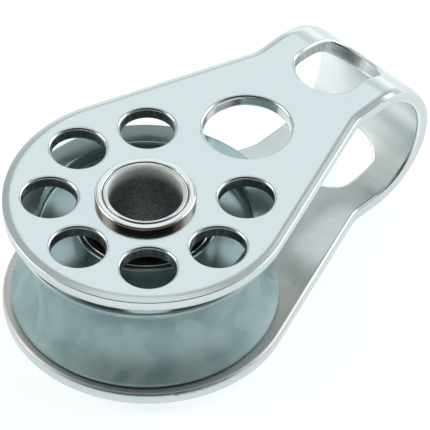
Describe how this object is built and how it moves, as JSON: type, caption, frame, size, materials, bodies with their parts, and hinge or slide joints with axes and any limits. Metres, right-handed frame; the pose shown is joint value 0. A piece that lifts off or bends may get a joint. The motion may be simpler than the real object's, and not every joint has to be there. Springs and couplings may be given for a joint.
{
  "type": "sheave block",
  "caption": "Single sheave block: a wide grooved sheave on ball bearings, on a hollow riveted axle between the pierced cheeks of one folded steel strap.",
  "frame": {"origin": "on the axle's axis, midway between the two cheeks", "axes": "+Z along the axle, +X towards the head, where the strap is folded, Y across the strap; lying on its side as in the picture, with the sheave rested on the lower cheek"},
  "size_m": [0.0643, 0.0388, 0.022],
  "materials": {
    "polished_stainless": "polished",
    "rivet_stainless": "polished",
    "anodised_aluminium": "hard anodised, satin",
    "sleeve_aluminium": "turned",
    "inner_race_steel": "ground",
    "outer_race_steel": "ground",
    "ball_steel": "mirror",
    "seal_rubber": "matt",
    "cage_polyamide": "matt"
  },
  "bodies": {
    "frame": {"strap": "polished_stainless", "tubular_rivet": "rivet_stainless"},
    "race_stack": {"upper_inner_race": "inner_race_steel", "lower_inner_race": "inner_race_steel", "spacer_sleeve": "sleeve_aluminium"},
    "sheave": {"sheave": "anodised_aluminium", "upper_outer_race": "outer_race_steel", "upper_outside_seal": "seal_rubber", "upper_inside_seal": "seal_rubber", "lower_outer_race": "outer_race_steel", "lower_outside_seal": "seal_rubber", "lower_inside_seal": "seal_rubber"},
    "upper_ball_set": {"upper_ball_cage": "cage_polyamide", "upper_ball_01": "ball_steel", "upper_ball_02": "ball_steel", "upper_ball_03": "ball_steel", "upper_ball_04": "ball_steel", "upper_ball_05": "ball_steel", "upper_ball_06": "ball_steel", "upper_ball_07": "ball_steel", "upper_ball_08": "ball_steel", "upper_ball_09": "ball_steel", "upper_ball_10": "ball_steel", "upper_ball_11": "ball_steel", "upper_ball_12": "ball_steel", "upper_ball_13": "ball_steel", "upper_ball_14": "ball_steel", "upper_ball_15": "ball_steel"},
    "lower_ball_set": {"lower_ball_cage": "cage_polyamide", "lower_ball_01": "ball_steel", "lower_ball_02": "ball_steel", "lower_ball_03": "ball_steel", "lower_ball_04": "ball_steel", "lower_ball_05": "ball_steel", "lower_ball_06": "ball_steel", "lower_ball_07": "ball_steel", "lower_ball_08": "ball_steel", "lower_ball_09": "ball_steel", "lower_ball_10": "ball_steel", "lower_ball_11": "ball_steel", "lower_ball_12": "ball_steel", "lower_ball_13": "ball_steel", "lower_ball_14": "ball_steel", "lower_ball_15": "ball_steel"}
  },
  "joints": [
    {"name": "axle_float", "type": "slide", "parent": "frame", "child": "race_stack", "axis": [0, 0, 1], "range_m": [0, 0.00154]},
    {"name": "sheave_spin", "type": "hinge", "parent": "race_stack", "child": "sheave", "pos_m": [0, 0, 0], "axis": [0, 0, 1], "continuous": true},
    {"name": "upper_balls_spin", "type": "hinge", "parent": "race_stack", "child": "upper_ball_set", "pos_m": [0, 0, 0], "axis": [0, 0, 1], "continuous": true},
    {"name": "lower_balls_spin", "type": "hinge", "parent": "race_stack", "child": "lower_ball_set", "pos_m": [0, 0, 0], "axis": [0, 0, 1], "continuous": true}
  ],
  "couplings": [
    {"joint": "upper_balls_spin", "follows": "sheave_spin", "ratio": 0.55293},
    {"joint": "lower_balls_spin", "follows": "sheave_spin", "ratio": 0.55293}
  ]
}
